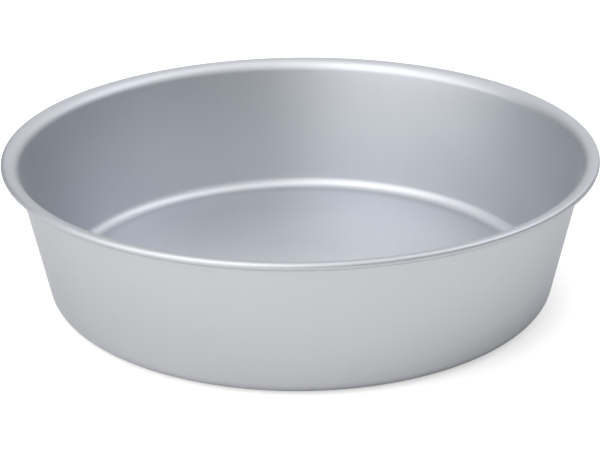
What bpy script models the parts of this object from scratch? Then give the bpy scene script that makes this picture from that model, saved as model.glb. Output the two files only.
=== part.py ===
"""Deep round pie pan, drawn from a single disc of aluminium sheet.

The pan is one piece of metal. Its section is two skins, one sheet apart: a flat
floor, a bend up into a straight sloping wall, a wide bend outwards at the rim,
and an edge that is rolled under so that no raw metal is left to the hand.
The section is turned about Z. The origin is the middle of the underside.
"""

import math

import bmesh
import bpy

# Driving dimensions, in metres
RIM_DIAMETER = 0.250  # over the rolled edge
PAN_HEIGHT = 0.062  # from the table to the top of the rim
BASE_DIAMETER = 0.204  # flat underside, up to where the corner bend starts
SHEET = 0.0010  # thickness of the aluminium
CORNER_BEND = 0.0055  # inside radius between the floor and the wall
RIM_BEND = 0.0050  # radius on the underside, where the wall turns outwards
CURL_BORE = 0.0005  # inside radius of the rolled edge
CURL_OPENING = 0.0006  # gap that the rolled edge leaves below the rim

# Facets: pieces of each bend, and of the full turn
CORNER_STEPS = 5
RIM_STEPS = 6
CURL_TOP_STEPS = 3
CURL_UNDER_STEPS = 6
TURN_STEPS = 96
SHARP_ANGLE = math.radians(40.0)
WELD_DISTANCE = 1.0e-6

# Finish: matt silver anodising
ALUMINIUM_COLOUR = (0.60, 0.62, 0.66, 1.0)
ALUMINIUM_ROUGHNESS = 0.34
ALUMINIUM_METALLIC = 1.0


def clear_scene():
    """Remove every object that the scene holds."""
    for scene_object in list(bpy.data.objects):
        bpy.data.objects.remove(scene_object, do_unlink=True)


def arc(centre, radius, start, end, steps):
    """Return the points of an arc about a centre in the section, both ends included."""
    points = []
    for step in range(steps + 1):
        angle = start + (end - start) * step / steps
        points.append((centre[0] + radius * math.cos(angle), centre[1] + radius * math.sin(angle)))
    return points


def wall_lean(corner_centre, corner_radius, rim_centre, rim_radius):
    """Return the angle of the wall's outward normal.

    The wall is the line that touches the corner bend on its outer side and the
    rim bend on its inner side, so the two bends curve opposite ways.
    """
    across = rim_centre[0] - corner_centre[0]
    up = rim_centre[1] - corner_centre[1]
    return math.atan2(up, across) - math.acos((corner_radius + rim_radius) / math.hypot(across, up))


def curl(centre, radius, stop):
    """Return one skin of the rolled edge, from the rim's top round its widest point to its end."""
    top = arc(centre, radius, math.pi / 2.0, 0.0, CURL_TOP_STEPS)
    under = arc(centre, radius, 0.0, stop, CURL_UNDER_STEPS)
    return top + under[1:]


def curl_end(curl_radius):
    """Return the angle at which the rolled edge stops, short of the rim's underside."""
    rim_drop = RIM_BEND - math.sqrt(RIM_BEND ** 2 - curl_radius ** 2)
    height = CURL_BORE - rim_drop - CURL_OPENING
    return -math.pi - math.asin(height / curl_radius)


def pan_section():
    """Return the section as (radius, height) points, underside first, inside last."""
    curl_radius = CURL_BORE + SHEET
    corner_centre = (BASE_DIAMETER / 2.0, CORNER_BEND + SHEET)
    rim_centre = (RIM_DIAMETER / 2.0 - curl_radius, PAN_HEIGHT - SHEET - RIM_BEND)
    curl_centre = (rim_centre[0], PAN_HEIGHT - curl_radius)
    lean = wall_lean(corner_centre, CORNER_BEND + SHEET, rim_centre, RIM_BEND)
    floor_side = -math.pi / 2.0
    upright = math.pi / 2.0
    wall_side = math.pi + lean
    stop = curl_end(curl_radius)

    # Underside: corner bend, wall, rim bend and the bore of the rolled edge
    section = arc(corner_centre, CORNER_BEND + SHEET, floor_side, lean, CORNER_STEPS)
    section += arc(rim_centre, RIM_BEND, wall_side, upright, RIM_STEPS)
    section += curl(curl_centre, CURL_BORE, stop)[1:]
    # Upper side, back from the end of the rolled edge to the floor
    section += reversed(curl(curl_centre, curl_radius, stop))
    section += arc(rim_centre, RIM_BEND + SHEET, upright, wall_side, RIM_STEPS)[1:]
    section += arc(corner_centre, CORNER_BEND, lean, floor_side, CORNER_STEPS)
    return section


def turned_mesh(name, section):
    """Turn an open section about Z and close the two flat discs that it leaves."""
    shape = bmesh.new()
    vertices = [shape.verts.new((radius, 0.0, height)) for radius, height in section]
    edges = [shape.edges.new(pair) for pair in zip(vertices, vertices[1:])]
    bmesh.ops.spin(
        shape,
        geom=vertices + edges,
        cent=(0.0, 0.0, 0.0),
        axis=(0.0, 0.0, 1.0),
        angle=2.0 * math.pi,
        steps=TURN_STEPS,
        use_merge=False,
    )
    bmesh.ops.remove_doubles(shape, verts=shape.verts, dist=WELD_DISTANCE)
    disc_edges = [edge for edge in shape.edges if edge.is_boundary]
    bmesh.ops.holes_fill(shape, edges=disc_edges, sides=0)
    bmesh.ops.recalc_face_normals(shape, faces=shape.faces)
    mesh = bpy.data.meshes.new(name)
    shape.to_mesh(mesh)
    shape.free()
    mesh.shade_smooth()
    mesh.set_sharp_from_angle(angle=SHARP_ANGLE)
    return mesh


def anodised_aluminium():
    """Return the material of the sheet."""
    material = bpy.data.materials.new("anodised_aluminium")
    material.use_nodes = True
    surface = material.node_tree.nodes["Principled BSDF"]
    surface.inputs["Base Color"].default_value = ALUMINIUM_COLOUR
    surface.inputs["Roughness"].default_value = ALUMINIUM_ROUGHNESS
    surface.inputs["Metallic"].default_value = ALUMINIUM_METALLIC
    return material


def build_pan_body():
    """Model the pan's one piece and link it to the scene."""
    mesh = turned_mesh("pan_body", pan_section())
    mesh.materials.append(anodised_aluminium())
    body = bpy.data.objects.new("pan_body", mesh)
    bpy.context.scene.collection.objects.link(body)
    return body


clear_scene()
build_pan_body()
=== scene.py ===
"""A deep round pie pan in matt silver anodised aluminium, on a white studio sweep.

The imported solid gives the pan's place and size. The pan is drawn again here as one
fine sheet: a half section is bent and spun by hand tools, given its thickness, and
its cut edge is rounded. The sheet carries one satin finish whose grain follows the
way each zone was formed: rolled on the floor, drawn on the wall, turned on the rim.
"""

import logging
import math
from dataclasses import dataclass, field
from enum import Enum

import bpy
from mathutils import Matrix, Vector


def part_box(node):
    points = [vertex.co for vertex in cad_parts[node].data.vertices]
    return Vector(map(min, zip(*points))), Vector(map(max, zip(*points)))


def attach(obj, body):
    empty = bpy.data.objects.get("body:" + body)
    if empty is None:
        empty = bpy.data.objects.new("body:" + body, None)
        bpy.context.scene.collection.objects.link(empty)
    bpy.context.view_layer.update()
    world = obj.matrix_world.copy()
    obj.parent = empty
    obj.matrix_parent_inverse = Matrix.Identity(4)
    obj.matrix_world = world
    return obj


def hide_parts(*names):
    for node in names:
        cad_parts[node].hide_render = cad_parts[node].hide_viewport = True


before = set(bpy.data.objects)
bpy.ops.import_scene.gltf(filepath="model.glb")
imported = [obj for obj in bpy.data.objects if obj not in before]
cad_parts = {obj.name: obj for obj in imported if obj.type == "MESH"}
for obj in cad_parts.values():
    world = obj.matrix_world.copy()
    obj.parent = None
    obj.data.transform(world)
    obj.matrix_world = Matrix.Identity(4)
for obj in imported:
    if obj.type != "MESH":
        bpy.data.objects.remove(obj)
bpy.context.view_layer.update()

LOG = logging.getLogger("pie_pan")
IMAGE_WIDTH = 600
FULL_TURN = 2.0 * math.pi
QUARTER_TURN = math.pi / 2.0
Colour = tuple[float, float, float]
WARM: Colour = (1.03, 1.0, 0.965)
COOL: Colour = (0.97, 1.0, 1.035)
FAINT_COOL: Colour = (0.985, 1.0, 1.018)
BLACK: Colour = (0.0, 0.0, 0.0)
# Numbers of the Mix node's sockets, several of which share one name.
MIX_FACTOR = 0
FLOAT_A, FLOAT_B = 2, 3
COLOUR_A, COLOUR_B = 6, 7
COLOUR_RESULT = 2
# Middle of the range that noise and masks have.
MIDDLE = 0.5
# Radius in metres at which the wall's streaks have their stated width.
STREAK_RADIUS = 0.11
# Octaves of each noise.
STREAK_DETAIL = 4.0
ROLL_LINE_DETAIL = 3.0
TURN_LINE_DETAIL = 2.0
GRAIN_DETAIL = 2.0
MARK_DETAIL = 3.0


class Zone(Enum):
    """A zone of the pan that was formed in its own way."""

    FLOOR = "floor"
    WALL = "wall"
    RIM = "rim"


def deselect_all() -> None:
    """Leave object mode with nothing selected."""
    if bpy.context.object and bpy.context.object.mode != "OBJECT":
        bpy.ops.object.mode_set(mode="OBJECT")
    bpy.ops.object.select_all(action="DESELECT")


def add_socket(tree: bpy.types.NodeTree, name: str, kind: str, flow: str, value: object = None) -> None:
    """Add one socket to a node group's interface.

    Args:
        tree: The node group.
        name: The socket's name.
        kind: The socket's type, such as NodeSocketFloat.
        flow: INPUT or OUTPUT.
        value: The default value of an input.
    """
    socket = tree.interface.new_socket(name=name, in_out=flow, socket_type=kind)
    if value is not None:
        socket.default_value = value


def add_node(tree: bpy.types.NodeTree, kind: str, **settings: object) -> bpy.types.Node:
    """Add a node and set its properties.

    Args:
        tree: The node tree.
        kind: The node's type.
        **settings: Properties of the node, by name.

    Returns:
        The new node.
    """
    node = tree.nodes.new(kind)
    for name, value in settings.items():
        setattr(node, name, value)
    return node


def set_inputs(node: bpy.types.Node, values: dict[str, object]) -> None:
    """Set several inputs of a node to constants, by name."""
    for name, value in values.items():
        node.inputs[name].default_value = value


def mix_colours(
    tree: bpy.types.NodeTree, factor: bpy.types.NodeSocket, first: object, second: object
) -> bpy.types.NodeSocket:
    """Add a mix of two colours.

    Args:
        tree: The node tree.
        factor: The socket that says how much of the second colour shows.
        first: A colour, or a colour's socket.
        second: A colour, or a colour's socket.

    Returns:
        The mixed colour's socket.
    """
    mix = add_node(tree, "ShaderNodeMix", data_type="RGBA")
    tree.links.new(factor, mix.inputs[MIX_FACTOR])
    for source, index in ((first, COLOUR_A), (second, COLOUR_B)):
        if isinstance(source, bpy.types.NodeSocket):
            tree.links.new(source, mix.inputs[index])
        else:
            mix.inputs[index].default_value = (*source, 1.0)
    return mix.outputs[COLOUR_RESULT]


class GroupBuilder:
    """Builds a shader node group with a few short calls."""

    def __init__(self, name: str) -> None:
        """Start an empty group with its own input and output nodes."""
        self.tree = bpy.data.node_groups.new(name, "ShaderNodeTree")
        self.inlet = self.tree.nodes.new("NodeGroupInput")
        self.outlet = self.tree.nodes.new("NodeGroupOutput")

    def add_input(self, name: str, kind: str, value: object = None) -> None:
        """Add an input socket."""
        add_socket(self.tree, name, kind, "INPUT", value)

    def add_output(self, name: str, kind: str) -> None:
        """Add an output socket."""
        add_socket(self.tree, name, kind, "OUTPUT")

    def node(self, kind: str, **settings: object) -> bpy.types.Node:
        """Add a node to the group and set its properties."""
        return add_node(self.tree, kind, **settings)

    def feed(self, source: object, target: object) -> None:
        """Link a socket, or set a constant, on an input socket.

        Args:
            source: An output socket, or a number or vector.
            target: The input socket.
        """
        if isinstance(source, bpy.types.NodeSocket):
            self.tree.links.new(source, target)
        else:
            target.default_value = source

    def math(self, operation: str, *operands: object, clamp: bool = False) -> bpy.types.NodeSocket:
        """Add a Math node.

        Args:
            operation: The node's operation.
            *operands: Sockets or numbers for its inputs, in order.
            clamp: Whether the result is held between 0 and 1.

        Returns:
            The result's socket.
        """
        node = self.node("ShaderNodeMath", operation=operation, use_clamp=clamp)
        for operand, target in zip(operands, node.inputs):
            self.feed(operand, target)
        return node.outputs[0]

    def vector_math(self, operation: str, *operands: object) -> bpy.types.Node:
        """Add a Vector Math node and feed its inputs in order."""
        node = self.node("ShaderNodeVectorMath", operation=operation)
        for operand, target in zip(operands, node.inputs):
            self.feed(operand, target)
        return node

    def noise(self, vector: bpy.types.NodeSocket, detail: float) -> bpy.types.NodeSocket:
        """Add a noise texture of unit scale.

        Args:
            vector: The place that the noise is read at.
            detail: The number of octaves.

        Returns:
            The noise value, from 0 to 1.
        """
        node = self.node("ShaderNodeTexNoise", noise_dimensions="3D")
        self.feed(vector, node.inputs["Vector"])
        set_inputs(node, {"Scale": 1.0, "Detail": detail, "Roughness": MIDDLE})
        return node.outputs["Fac"]

    def noise_at(self, x: object, y: object, z: object, detail: float) -> bpy.types.NodeSocket:
        """Add a noise texture at a place built from three values.

        Args:
            x: Socket or number for the first coordinate.
            y: Socket or number for the second coordinate.
            z: Socket or number for the third coordinate.
            detail: The number of octaves.

        Returns:
            The noise value, from 0 to 1.
        """
        join = self.node("ShaderNodeCombineXYZ")
        for value, target in zip((x, y, z), join.inputs):
            self.feed(value, target)
        return self.noise(join.outputs[0], detail)


@dataclass(frozen=True)
class AnodisedFinish:
    """Matt silver anodising on drawn aluminium sheet."""

    slot: str = "anodised_aluminium"
    metal: Colour = (0.514, 0.537, 0.575)
    rubbed_metal: Colour = (0.554, 0.576, 0.610)
    edge_tint: Colour = (0.66, 0.67, 0.69)
    # Painted shade darkens the rim's colour and painted light lightens the floor's colour, as shares of the
    # metal's colour.
    rim_painted_shade: float = -0.115
    floor_painted_light: float = 0.09
    line_share: float = 0.65
    grain_share: float = 0.35
    mark_share: float = 0.6
    wear_contrast: float = 1.1
    roughness: float = 0.50
    floor_roughness: float = 0.45
    roughness_swing: float = 0.05
    grain_size: float = 0.00035
    streak_width: float = 0.0009
    streak_length: float = 0.045
    roll_line_width: float = 0.0007
    roll_line_length: float = 0.060
    turn_line_width: float = 0.00045
    mark_size: float = 0.035
    relief: float = 0.000004

    def material(self, shape: "PanShape") -> bpy.types.Material:
        """Build the finish as one material.

        Args:
            shape: The pan's section, which says where each zone lies.

        Returns:
            The material.
        """
        material = bpy.data.materials.new("anodised_aluminium_finish")
        material.use_nodes = True
        tree = material.node_tree
        surface = tree.nodes["Principled BSDF"]
        surface.inputs["Metallic"].default_value = 1.0
        surface.inputs["Specular Tint"].default_value = (*self.edge_tint, 1.0)
        place = tree.nodes.new("ShaderNodeTexCoord")
        zones = self._place_group(tree, self._zone_group(), place)
        set_inputs(zones, {
            "Floor Edge": shape.floor_radius,
            "Floor Rise": shape.floor_radius - shape.corner_bend,
            "Rim Start": shape.wall_top_height,
            "Rim Top": shape.height,
        })
        lines = self._place_group(tree, self._line_group(), place)
        set_inputs(lines, {
            "Streak Width": self.streak_width,
            "Streak Length": self.streak_length,
            "Roll Line Width": self.roll_line_width,
            "Roll Line Length": self.roll_line_length,
            "Turn Line Width": self.turn_line_width,
        })
        for zone in Zone:
            name = zone.value.title()
            tree.links.new(zones.outputs[name], lines.inputs[name])
        grain = self._place_group(tree, self._grain_group(), place)
        set_inputs(grain, {"Grain Size": self.grain_size, "Mark Size": self.mark_size})
        blend = add_node(tree, "ShaderNodeGroup", node_tree=self._blend_group())
        set_inputs(blend, {
            "Metal": (*self.metal, 1.0),
            "Rubbed Metal": (*self.rubbed_metal, 1.0),
            "Roughness": self.roughness,
            "Floor Roughness": self.floor_roughness,
            "Roughness Swing": self.roughness_swing,
            "Rim Painted Shade": self.rim_painted_shade,
            "Floor Painted Light": self.floor_painted_light,
            "Line Share": self.line_share,
            "Grain Share": self.grain_share,
            "Mark Share": self.mark_share,
            "Wear Contrast": self.wear_contrast,
        })
        tree.links.new(zones.outputs["Floor"], blend.inputs["Floor"])
        tree.links.new(zones.outputs["Rim"], blend.inputs["Rim"])
        tree.links.new(lines.outputs["Lines"], blend.inputs["Lines"])
        tree.links.new(grain.outputs["Grain"], blend.inputs["Grain"])
        tree.links.new(grain.outputs["Marks"], blend.inputs["Marks"])
        bump = tree.nodes.new("ShaderNodeBump")
        bump.inputs["Distance"].default_value = self.relief
        tree.links.new(blend.outputs["Height"], bump.inputs["Height"])
        tree.links.new(blend.outputs["Colour"], surface.inputs["Base Color"])
        tree.links.new(blend.outputs["Roughness"], surface.inputs["Roughness"])
        tree.links.new(bump.outputs["Normal"], surface.inputs["Normal"])
        return material

    @staticmethod
    def _place_group(
        tree: bpy.types.NodeTree, group: bpy.types.NodeTree, place: bpy.types.Node
    ) -> bpy.types.Node:
        """Add a group node that reads the piece's own coordinates.

        Args:
            tree: The material's node tree.
            group: The node group.
            place: The material's Texture Coordinate node.

        Returns:
            The group's node.
        """
        node = add_node(tree, "ShaderNodeGroup", node_tree=group)
        tree.links.new(place.outputs["Object"], node.inputs["Place"])
        return node

    @staticmethod
    def _zone_group() -> bpy.types.NodeTree:
        """Build the masks of floor, wall and rim.

        Returns:
            A group that reads the place and puts out one mask for each zone.
        """
        group = GroupBuilder("Pan Zones")
        group.add_input("Place", "NodeSocketVector")
        for name in ("Floor Edge", "Floor Rise", "Rim Start", "Rim Top"):
            group.add_input(name, "NodeSocketFloat", 0.0)
        for zone in Zone:
            group.add_output(zone.value.title(), "NodeSocketFloat")
        split = group.node("ShaderNodeSeparateXYZ")
        group.feed(group.inlet.outputs["Place"], split.inputs[0])
        across = group.vector_math("MULTIPLY", group.inlet.outputs["Place"], (1.0, 1.0, 0.0))
        radius = group.vector_math("LENGTH", across.outputs[0]).outputs["Value"]
        rim = group.node("ShaderNodeMapRange", interpolation_type="SMOOTHSTEP")
        group.feed(split.outputs["Z"], rim.inputs["Value"])
        group.feed(group.inlet.outputs["Rim Start"], rim.inputs["From Min"])
        group.feed(group.inlet.outputs["Rim Top"], rim.inputs["From Max"])
        inside = group.node("ShaderNodeMapRange", interpolation_type="SMOOTHSTEP")
        group.feed(radius, inside.inputs["Value"])
        group.feed(group.inlet.outputs["Floor Edge"], inside.inputs["From Min"])
        group.feed(group.inlet.outputs["Floor Rise"], inside.inputs["From Max"])
        not_rim = group.math("SUBTRACT", 1.0, rim.outputs[0])
        group.feed(rim.outputs[0], group.outlet.inputs["Rim"])
        group.feed(inside.outputs[0], group.outlet.inputs["Floor"])
        wall = group.math("MULTIPLY", not_rim, group.math("SUBTRACT", 1.0, inside.outputs[0]))
        group.feed(wall, group.outlet.inputs["Wall"])
        return group.tree

    @staticmethod
    def _line_group() -> bpy.types.NodeTree:
        """Build the lines that the forming left: rolled, drawn and turned.

        Returns:
            A group that puts out the lines of all zones, from 0 to 1.
        """
        group = GroupBuilder("Forming Lines")
        group.add_input("Place", "NodeSocketVector")
        names = ("Streak Width", "Streak Length", "Roll Line Width", "Roll Line Length", "Turn Line Width")
        for name in names:
            group.add_input(name, "NodeSocketFloat", 0.001)
        for zone in Zone:
            group.add_input(zone.value.title(), "NodeSocketFloat", 0.0)
        group.add_output("Lines", "NodeSocketFloat")
        place = group.inlet.outputs["Place"]
        size = group.inlet.outputs
        split = group.node("ShaderNodeSeparateXYZ")
        group.feed(place, split.inputs[0])
        across = group.vector_math("MULTIPLY", place, (1.0, 1.0, 0.0))
        radius = group.vector_math("LENGTH", across.outputs[0]).outputs["Value"]
        heading = group.vector_math("NORMALIZE", across.outputs[0])
        turn = group.node("ShaderNodeSeparateXYZ")
        group.feed(heading.outputs[0], turn.inputs[0])
        pitch = group.math("DIVIDE", STREAK_RADIUS, size["Streak Width"])
        streaks = group.noise_at(
            group.math("MULTIPLY", turn.outputs["X"], pitch),
            group.math("MULTIPLY", turn.outputs["Y"], pitch),
            group.math("DIVIDE", split.outputs["Z"], size["Streak Length"]),
            STREAK_DETAIL,
        )
        rolled = group.noise_at(
            group.math("DIVIDE", split.outputs["X"], size["Roll Line Width"]),
            group.math("DIVIDE", split.outputs["Y"], size["Roll Line Length"]),
            0.0,
            ROLL_LINE_DETAIL,
        )
        turned = group.noise_at(
            group.math("DIVIDE", radius, size["Turn Line Width"]),
            group.math("DIVIDE", split.outputs["Z"], size["Turn Line Width"]),
            turn.outputs["X"],
            TURN_LINE_DETAIL,
        )
        total = group.math("MULTIPLY", streaks, size["Wall"])
        total = group.math("MULTIPLY_ADD", rolled, size["Floor"], total)
        total = group.math("MULTIPLY_ADD", turned, size["Rim"], total)
        group.feed(total, group.outlet.inputs["Lines"])
        return group.tree

    @staticmethod
    def _grain_group() -> bpy.types.NodeTree:
        """Build the etched satin grain and the soft marks of handling.

        Returns:
            A group that puts out both, from 0 to 1.
        """
        group = GroupBuilder("Satin Grain")
        group.add_input("Place", "NodeSocketVector")
        group.add_input("Grain Size", "NodeSocketFloat", 0.001)
        group.add_input("Mark Size", "NodeSocketFloat", 0.01)
        group.add_output("Grain", "NodeSocketFloat")
        group.add_output("Marks", "NodeSocketFloat")
        textures = (("Grain Size", "Grain", GRAIN_DETAIL), ("Mark Size", "Marks", MARK_DETAIL))
        for size, output, detail in textures:
            scale = group.math("DIVIDE", 1.0, group.inlet.outputs[size])
            scaled = group.vector_math("SCALE", group.inlet.outputs["Place"])
            group.feed(scale, scaled.inputs["Scale"])
            group.feed(group.noise(scaled.outputs[0], detail), group.outlet.inputs[output])
        return group.tree

    @staticmethod
    def _blend_group() -> bpy.types.NodeTree:
        """Build the mix of lines, grain and marks into colour, roughness and height, with painted shade on
        the rim and painted light on the floor.

        Returns:
            The group.
        """
        group = GroupBuilder("Anodised Blend")
        for name in ("Metal", "Rubbed Metal"):
            group.add_input(name, "NodeSocketColor", (MIDDLE, MIDDLE, MIDDLE, 1.0))
        amounts = ("Roughness", "Floor Roughness", "Roughness Swing", "Rim Painted Shade", "Floor Painted Light")
        shares = ("Line Share", "Grain Share", "Mark Share", "Wear Contrast")
        masks = ("Floor", "Rim", "Lines", "Grain", "Marks")
        for name in (*amounts, *shares, *masks):
            group.add_input(name, "NodeSocketFloat", 0.0)
        group.add_output("Colour", "NodeSocketColor")
        group.add_output("Roughness", "NodeSocketFloat")
        group.add_output("Height", "NodeSocketFloat")
        inlet = group.inlet.outputs
        fine = group.math("MULTIPLY", inlet["Grain"], inlet["Grain Share"])
        texture = group.math("MULTIPLY_ADD", inlet["Lines"], inlet["Line Share"], fine)
        lean = group.math("SUBTRACT", texture, MIDDLE)
        handled = group.math("MULTIPLY", inlet["Marks"], inlet["Mark Share"])
        rubbed = group.math("MULTIPLY_ADD", lean, inlet["Wear Contrast"], handled, clamp=True)
        tint = group.node("ShaderNodeMix", data_type="RGBA")
        group.feed(rubbed, tint.inputs[MIX_FACTOR])
        group.feed(inlet["Metal"], tint.inputs[COLOUR_A])
        group.feed(inlet["Rubbed Metal"], tint.inputs[COLOUR_B])
        # Painted shade on the rim and painted light on the floor scale the metal's colour.
        tone = group.math("MULTIPLY_ADD", inlet["Rim"], inlet["Rim Painted Shade"], 1.0)
        tone = group.math("MULTIPLY_ADD", inlet["Floor"], inlet["Floor Painted Light"], tone)
        shaded = group.vector_math("SCALE", tint.outputs[COLOUR_RESULT])
        group.feed(tone, shaded.inputs["Scale"])
        base = group.node("ShaderNodeMix", data_type="FLOAT")
        group.feed(inlet["Floor"], base.inputs[MIX_FACTOR])
        group.feed(inlet["Roughness"], base.inputs[FLOAT_A])
        group.feed(inlet["Floor Roughness"], base.inputs[FLOAT_B])
        swing = group.math("ADD", lean, group.math("SUBTRACT", inlet["Marks"], MIDDLE))
        rough = group.math("MULTIPLY_ADD", swing, inlet["Roughness Swing"], base.outputs[0])
        group.feed(shaded.outputs[0], group.outlet.inputs["Colour"])
        group.feed(rough, group.outlet.inputs["Roughness"])
        group.feed(texture, group.outlet.inputs["Height"])
        return group.tree


@dataclass
class PanShape:
    """Sizes of the pan's section, in metres, and the points that follow from them."""

    rim_radius: float
    height: float
    base_radius: float = 0.102
    sheet: float = 0.001
    corner_bend: float = 0.0055
    rim_bend: float = 0.005
    curl_bore: float = 0.0005
    curl_opening: float = 0.0006

    @property
    def floor_radius(self) -> float:
        """Radius of the flat floor."""
        return self.base_radius

    @property
    def curl_radius(self) -> float:
        """Outer radius of the rolled edge."""
        return self.curl_bore + self.sheet

    @property
    def corner_centre(self) -> Vector:
        """Centre of the corner bend in the section."""
        return Vector((self.base_radius, 0.0, self.corner_bend + self.sheet))

    @property
    def rim_centre(self) -> Vector:
        """Centre of the rim bend in the section."""
        return Vector((self.rim_radius - self.curl_radius, 0.0, self.height - self.sheet - self.rim_bend))

    @property
    def curl_centre(self) -> Vector:
        """Centre of the rolled edge in the section."""
        return Vector((self.rim_radius - self.curl_radius, 0.0, self.height - self.curl_radius))

    @property
    def lean(self) -> float:
        """Angle that the wall's outward normal dips below the level."""
        across = self.rim_centre.x - self.corner_centre.x
        up = self.rim_centre.z - self.corner_centre.z
        reach = self.corner_bend + self.sheet + self.rim_bend
        return math.acos(reach / math.hypot(across, up)) - math.atan2(up, across)

    @property
    def wall_top_height(self) -> float:
        """Height at which the straight wall ends and the rim bend starts."""
        return self.rim_centre.z + (self.rim_bend + self.sheet) * math.sin(self.lean)

    @property
    def curl_turn(self) -> float:
        """Angle that the rolled edge turns through, from the top of the rim to its cut end."""
        drop = self.rim_bend - math.sqrt(self.rim_bend ** 2 - self.curl_radius ** 2)
        rise = self.curl_bore - drop - self.curl_opening
        return 1.5 * math.pi + math.asin(rise / self.curl_radius)


@dataclass
class PanBody:
    """The pan: one sheet, drawn, flared and rolled at its edge."""

    shape: PanShape
    finish: AnodisedFinish = field(default_factory=AnodisedFinish)
    name: str = "pan_sheet"
    turn_steps: int = 360
    floor_rings: int = 6
    corner_steps: int = 14
    wall_steps: int = 12
    rim_steps: int = 18
    curl_steps: int = 24
    weld: float = 1.0e-6
    edge_break: float = 0.00012
    edge_break_steps: int = 3
    edge_break_angle: float = 60.0
    smooth_angle: float = 35.0

    def build(self) -> bpy.types.Object:
        """Model the pan, dress it and tie it to the frame.

        Returns:
            The finished piece.
        """
        self._start_at_centre()
        self._draw_section()
        self._spin_section()
        piece = bpy.context.object
        self._face_upwards(piece)
        self._give_thickness(piece)
        self._break_cut_edge(piece)
        self._shade(piece)
        piece.data.materials.clear()
        piece.data.materials.append(self.finish.material(self.shape))
        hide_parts("pan_body")
        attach(piece, "root")
        return piece

    def _start_at_centre(self) -> None:
        """Add a small plane at the middle of the floor and merge it to one vertex."""
        deselect_all()
        bpy.ops.mesh.primitive_plane_add(size=self.shape.sheet, location=(0.0, 0.0, 0.0))
        piece = bpy.context.object
        piece.name = self.name
        piece.data.name = self.name
        bpy.ops.object.mode_set(mode="EDIT")
        bpy.ops.mesh.select_mode(type="VERT")
        bpy.ops.mesh.select_all(action="SELECT")
        bpy.ops.mesh.merge(type="CENTER")
        bpy.ops.transform.translate(value=(0.0, 0.0, self.shape.sheet))

    @staticmethod
    def _run(step: Vector, count: int) -> None:
        """Extrude the section's end along a straight line, in equal steps."""
        for _ in range(count):
            bpy.ops.mesh.extrude_region_move(TRANSFORM_OT_translate={"value": step / count})

    @staticmethod
    def _bend(centre: Vector, angle: float, steps: int, upwards: bool) -> None:
        """Spin the section's end about a centre.

        Args:
            centre: Centre of the bend.
            angle: Angle of the bend.
            steps: Number of straight pieces in it.
            upwards: Whether the bend turns from level to upright, and not back.
        """
        axis = (0.0, 1.0, 0.0) if upwards else (0.0, -1.0, 0.0)
        bpy.ops.mesh.spin(steps=steps, angle=angle, center=centre, axis=axis, use_auto_merge=False)

    def _draw_section(self) -> None:
        """Draw the upper skin of the section, from the middle of the floor to the cut edge."""
        shape = self.shape
        upright = QUARTER_TURN - shape.lean
        self._run(Vector((shape.floor_radius, 0.0, 0.0)), self.floor_rings)
        self._bend(shape.corner_centre, upright, self.corner_steps, upwards=True)
        normal = Vector((math.cos(shape.lean), 0.0, -math.sin(shape.lean)))
        foot = shape.corner_centre + normal * shape.corner_bend
        top = shape.rim_centre - normal * (shape.rim_bend + shape.sheet)
        self._run(top - foot, self.wall_steps)
        self._bend(shape.rim_centre, upright, self.rim_steps, upwards=False)
        self._bend(shape.curl_centre, shape.curl_turn, self.curl_steps, upwards=False)

    def _spin_section(self) -> None:
        """Spin the section about the pan's axis and weld the seam and the pole."""
        bpy.ops.mesh.select_all(action="SELECT")
        bpy.ops.mesh.spin(
            steps=self.turn_steps,
            angle=FULL_TURN,
            center=(0.0, 0.0, 0.0),
            axis=(0.0, 0.0, 1.0),
            use_auto_merge=True,
        )
        bpy.ops.mesh.select_all(action="SELECT")
        bpy.ops.mesh.remove_doubles(threshold=self.weld)
        bpy.ops.mesh.normals_make_consistent(inside=False)
        bpy.ops.object.mode_set(mode="OBJECT")

    @staticmethod
    def _face_upwards(piece: bpy.types.Object) -> None:
        """Turn the open skin over if its floor looks down."""
        floor = min(piece.data.polygons, key=lambda face: face.center.to_2d().length)
        if floor.normal.z > 0.0:
            return
        bpy.ops.object.mode_set(mode="EDIT")
        bpy.ops.mesh.select_all(action="SELECT")
        bpy.ops.mesh.flip_normals()
        bpy.ops.object.mode_set(mode="OBJECT")

    def _give_thickness(self, piece: bpy.types.Object) -> None:
        """Thicken the skin downwards by the sheet."""
        sheet = piece.modifiers.new("Sheet", "SOLIDIFY")
        sheet.thickness = self.shape.sheet
        sheet.offset = -1.0
        sheet.use_even_offset = True
        bpy.ops.object.modifier_apply(modifier=sheet.name)

    def _break_cut_edge(self, piece: bpy.types.Object) -> None:
        """Round the two sharp edges where the sheet was cut."""
        rounding = piece.modifiers.new("Cut Edge", "BEVEL")
        rounding.limit_method = "ANGLE"
        rounding.angle_limit = math.radians(self.edge_break_angle)
        rounding.width = self.edge_break
        rounding.segments = self.edge_break_steps
        bpy.ops.object.modifier_apply(modifier=rounding.name)

    def _shade(self, piece: bpy.types.Object) -> None:
        """Shade the piece smooth but for real edges."""
        deselect_all()
        bpy.context.view_layer.objects.active = piece
        piece.select_set(True)
        bpy.ops.object.shade_smooth_by_angle(angle=math.radians(self.smooth_angle))


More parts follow.
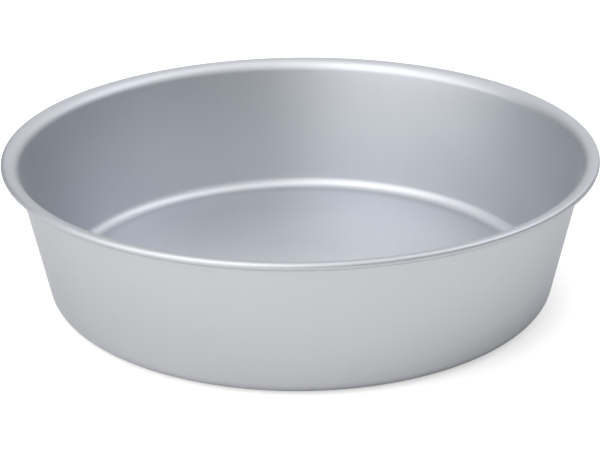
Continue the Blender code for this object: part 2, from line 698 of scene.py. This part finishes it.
@dataclass(frozen=True)
class SoftBox:
    """A large soft light that faces the pan, with its angles in degrees as the pan sees them.

    Azimuth 0 is the camera's side and 90 the right-hand side.
    """

    name: str
    azimuth: float
    elevation: float
    across: float
    upright: float
    brightness: float
    distance: float = 2.4
    colour: Colour = (1.0, 1.0, 1.0)

    def build(self) -> bpy.types.Object:
        """Place the light at its distance from the pan.

        Returns:
            The light's object.
        """
        width = 2.0 * self.distance * math.tan(math.radians(self.across / 2.0))
        height = 2.0 * self.distance * math.tan(math.radians(self.upright / 2.0))
        light = bpy.data.lights.new(self.name, "AREA")
        light.shape = "RECTANGLE"
        light.size = width
        light.size_y = height
        light.energy = self.brightness * math.pi * width * height
        light.color = self.colour
        lamp = bpy.data.objects.new(self.name, light)
        turn = math.radians(self.azimuth)
        rise = math.radians(self.elevation)
        away = Vector((math.sin(turn) * math.cos(rise), -math.cos(turn) * math.cos(rise), math.sin(rise)))
        lamp.matrix_world = (
            Matrix.Translation(away * self.distance) @ away.to_track_quat("Z", "Y").to_matrix().to_4x4()
        )
        lamp.visible_camera = False
        bpy.context.scene.collection.objects.link(lamp)
        return lamp


@dataclass(frozen=True)
class StudioSweep:
    """The white paper that the pan stands on.

    The camera sees the paper a little brighter than the pan does, as in a photograph whose
    background is exposed to plain white. A painted shadow darkens the paper's colour at the pan's
    right front, as the camera sees it and as the pan mirrors it: it is centred on dim_place, ends
    dim_reach from there and dim_edge from the pan's axis, is full inside dim_foot and takes away dim_share of
    the paper's tone.
    """

    radius: float = 7.0
    paper: Colour = (0.812, 0.796, 0.784)
    seen_paper: Colour = (0.60, 0.60, 0.60)
    seen_glow: Colour = (0.52, 0.52, 0.52)
    dim_place: tuple[float, float, float] = (0.105, -0.068, 0.0)
    dim_reach: float = 0.11
    dim_foot: float = 0.1
    dim_edge: float = 0.13
    dim_share: float = 0.42
    roughness: float = 0.9
    drop: float = 0.0002

    def build(self) -> bpy.types.Object:
        """Lay the floor just under the pan.

        Returns:
            The floor's object.
        """
        deselect_all()
        bpy.ops.mesh.primitive_circle_add(
            vertices=96, radius=self.radius, fill_type="NGON", location=(0.0, 0.0, -self.drop)
        )
        floor = bpy.context.object
        floor.name = "studio_floor"
        floor.data.materials.append(self._paper())
        return floor

    def _paper(self) -> bpy.types.Material:
        """Build the matt white paper of the sweep, with its painted shadow at the pan's right front.

        Returns:
            The material.
        """
        material = bpy.data.materials.new("white_paper")
        material.use_nodes = True
        tree = material.node_tree
        surface = tree.nodes["Principled BSDF"]
        set_inputs(surface, {
            "Roughness": self.roughness,
            "Specular IOR Level": 0.0,
            "Emission Strength": 1.0,
        })
        seen = tree.nodes.new("ShaderNodeLightPath").outputs["Is Camera Ray"]
        paper = mix_colours(tree, seen, self.paper, self.seen_paper)
        # Painted shadow: inside the mask the paper's colour is darkened towards black, for the camera and for
        # the pan's reflections.
        shadow_painted_paper = mix_colours(tree, self._painted_shadow_mask(tree), paper, BLACK)
        glow = mix_colours(tree, seen, BLACK, self.seen_glow)
        tree.links.new(shadow_painted_paper, surface.inputs["Base Color"])
        tree.links.new(glow, surface.inputs["Emission Color"])
        return material

    def _painted_shadow_mask(self, tree: bpy.types.NodeTree) -> bpy.types.NodeSocket:
        """Add the mask of the painted shadow.

        Args:
            tree: The paper's node tree.

        Returns:
            The mask's socket, 0 where the paper is plain.
        """
        place = tree.nodes.new("ShaderNodeTexCoord").outputs["Object"]
        away = add_node(tree, "ShaderNodeVectorMath", operation="DISTANCE")
        away.inputs[1].default_value = self.dim_place
        out = add_node(tree, "ShaderNodeVectorMath", operation="LENGTH")
        for node in (away, out):
            tree.links.new(place, node.inputs[0])
        side = self._fade(tree, away.outputs["Value"], self.dim_reach, 0.0, 1.0)
        near = self._fade(tree, out.outputs["Value"], self.dim_edge, self.dim_foot, self.dim_share)
        both = add_node(tree, "ShaderNodeMath", operation="MULTIPLY")
        tree.links.new(side, both.inputs[0])
        tree.links.new(near, both.inputs[1])
        return both.outputs[0]

    @staticmethod
    def _fade(
        tree: bpy.types.NodeTree, distance: bpy.types.NodeSocket, outer: float, inner: float, full: float
    ) -> bpy.types.NodeSocket:
        """Add a smooth rise from 0 at an outer distance to a full value at an inner one.

        Args:
            tree: The paper's node tree.
            distance: The distance's socket.
            outer: Where the rise starts.
            inner: Where it is complete.
            full: The value there.

        Returns:
            The result's socket.
        """
        fade = add_node(tree, "ShaderNodeMapRange", interpolation_type="SMOOTHSTEP")
        set_inputs(fade, {"From Min": outer, "From Max": inner, "To Max": full})
        tree.links.new(distance, fade.inputs["Value"])
        return fade.outputs["Result"]


@dataclass(frozen=True)
class RoomLight:
    """The even light of the room: brightness and colour at a few elevations in degrees.

    The camera sees one plain white above the paper.
    """

    levels: tuple[tuple[float, float, Colour], ...] = (
        (0.0, 0.0, FAINT_COOL),
        (10.0, 0.0, FAINT_COOL),
        (22.0, 0.76, FAINT_COOL),
        (40.0, 0.88, FAINT_COOL),
        (60.0, 1.15, WARM),
        (90.0, 1.4, WARM),
    )
    seen_level: float = 1.05

    def build(self) -> bpy.types.World:
        """Build the world's soft gradient.

        Returns:
            The world.
        """
        world = bpy.data.worlds.new("studio_room")
        world.use_nodes = True
        bpy.context.scene.world = world
        tree = world.node_tree
        backdrop = tree.nodes["Background"]
        place = tree.nodes.new("ShaderNodeTexCoord")
        split = tree.nodes.new("ShaderNodeSeparateXYZ")
        ramp = tree.nodes.new("ShaderNodeValToRGB")
        brightest = max(level for _, level, _ in self.levels)
        backdrop.inputs["Strength"].default_value = brightest
        for rise, _, _ in self.levels[1:-1]:
            ramp.color_ramp.elements.new(math.sin(math.radians(rise)))
        for element, (rise, level, tint) in zip(ramp.color_ramp.elements, self.levels):
            element.position = math.sin(math.radians(rise))
            element.color = (*(part * level / brightest for part in tint), 1.0)
        seen = tree.nodes.new("ShaderNodeLightPath").outputs["Is Camera Ray"]
        plain = (self.seen_level / brightest,) * 3
        colour = mix_colours(tree, seen, ramp.outputs["Color"], plain)
        tree.links.new(place.outputs["Generated"], split.inputs[0])
        tree.links.new(split.outputs["Z"], ramp.inputs[0])
        tree.links.new(colour, backdrop.inputs["Color"])
        return world


@dataclass(frozen=True)
class PhotoCamera:
    """The camera at the photograph's place, worked out from the pan's outline."""

    focal_pixels: float = 1607.24
    sensor: float = 36.0
    distance: float = 0.69401
    pitch: float = 0.399489
    roll: float = 0.008045
    aside: float = -0.000307
    aim_height: float = 0.024430

    def build(self) -> bpy.types.Object:
        """Place the camera and make it the scene's own.

        Returns:
            The camera's object.
        """
        data = bpy.data.cameras.new("photo_camera")
        data.sensor_width = self.sensor
        data.lens = self.focal_pixels * self.sensor / IMAGE_WIDTH
        camera = bpy.data.objects.new("photo_camera", data)
        forward = Vector((0.0, math.cos(self.pitch), -math.sin(self.pitch)))
        level = Vector((1.0, 0.0, 0.0))
        down = forward.cross(level)
        right = math.cos(self.roll) * level + math.sin(self.roll) * down
        up = right.cross(forward)
        turn = Matrix((right, up, -forward)).transposed().to_4x4()
        aim = Vector((self.aside, 0.0, self.aim_height))
        camera.matrix_world = Matrix.Translation(aim - forward * self.distance) @ turn
        bpy.context.scene.collection.objects.link(camera)
        bpy.context.scene.camera = camera
        return camera


LIGHTS = (
    SoftBox("key", azimuth=315.0, elevation=28.0, across=70.0, upright=56.0, brightness=1.66, colour=WARM),
    SoftBox("key_top", azimuth=315.0, elevation=66.0, across=25.0, upright=16.0, brightness=4.0, colour=WARM),
    SoftBox("left_low", azimuth=268.0, elevation=18.0, across=22.0, upright=14.0, brightness=1.95),
    SoftBox("right", azimuth=105.0, elevation=48.0, across=25.0, upright=40.0, brightness=1.95, colour=COOL),
    SoftBox("back", azimuth=160.0, elevation=18.0, across=60.0, upright=34.0, brightness=0.85, colour=WARM),
    SoftBox("back_high", azimuth=207.0, elevation=48.0, across=32.0, upright=26.0, brightness=0.35),
)


def main() -> None:
    """Build the camera, the pan, the floor and the lights in order."""
    logging.basicConfig(level=logging.INFO, format="%(name)s: %(message)s")
    camera = PhotoCamera().build()
    LOG.info("camera %s", camera.name)
    low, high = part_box("pan_body")
    shape = PanShape(rim_radius=(high.x - low.x) / 2.0, height=high.z)
    pan = PanBody(shape).build()
    LOG.info("piece %s: %d faces", pan.name, len(pan.data.polygons))
    floor = StudioSweep().build()
    LOG.info("stage %s", floor.name)
    RoomLight().build()
    for light in LIGHTS:
        LOG.info("light %s", light.build().name)
    bpy.context.scene.view_settings.view_transform = "Standard"


if __name__ == "__main__":
    main()
